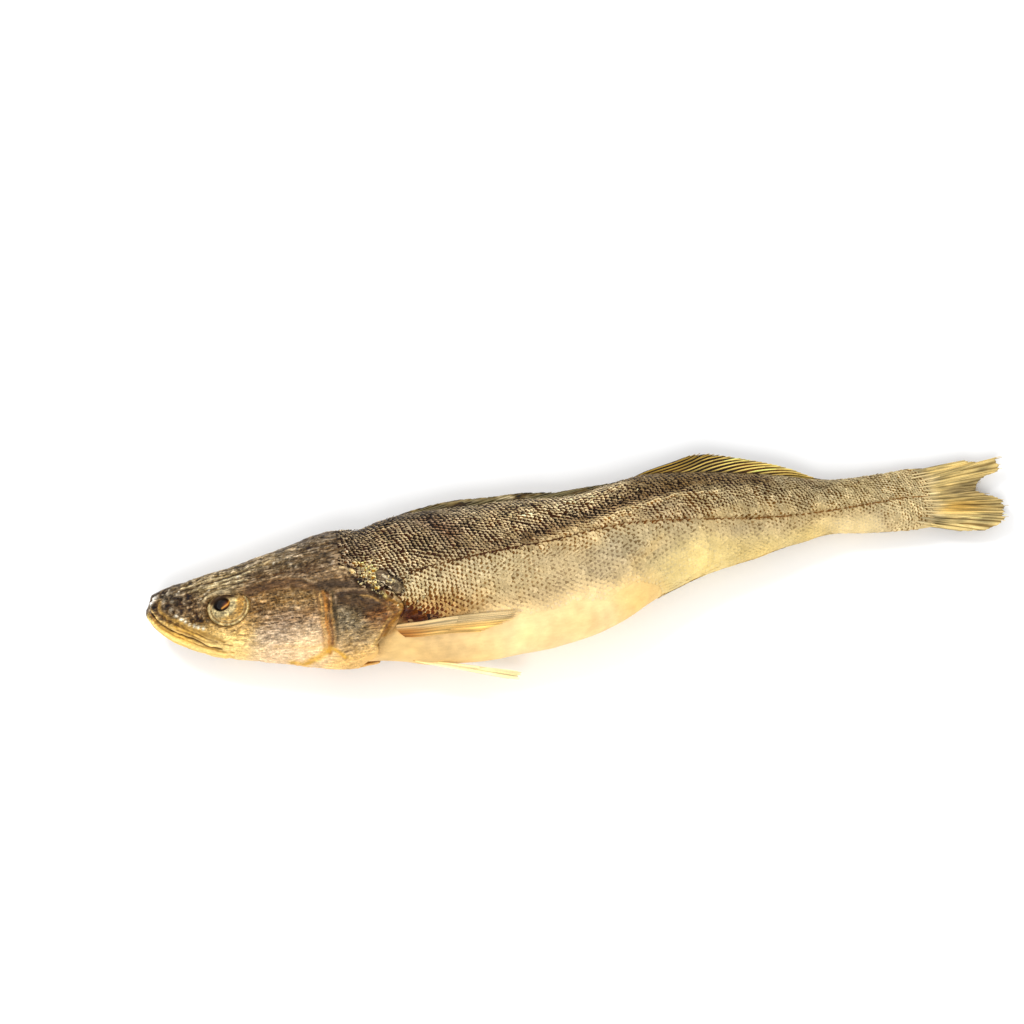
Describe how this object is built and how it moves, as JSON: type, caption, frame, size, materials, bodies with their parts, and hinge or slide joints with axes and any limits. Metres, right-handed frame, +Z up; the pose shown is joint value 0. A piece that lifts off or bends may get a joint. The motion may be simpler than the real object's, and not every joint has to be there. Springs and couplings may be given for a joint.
{
  "type": "dried salted zander",
  "caption": "Whole dried salted fish lying on its side: long pointed head, sunken flank with small scales, folded fins along the back and a torn forked tail.",
  "frame": {"origin": "on the table, under the centre of the fish's box", "axes": "+X from the snout to the tail, +Y from the belly to the back, +Z up through the left flank, which is the side that shows"},
  "size_m": [0.4052, 0.0982, 0.0406],
  "materials": {
    "skin": "dried scaled fish skin, dark brown on the back, tan on the flank, pale yellow on the belly, satin",
    "fins": "dried fin rays and thin web, straw gold to olive, satin",
    "eye": "dried clouded eye, cream and gold ring around a brown-black pupil, glossy"
  },
  "bodies": {
    "root": {"zander": "skin"}
  },
  "joints": []
}
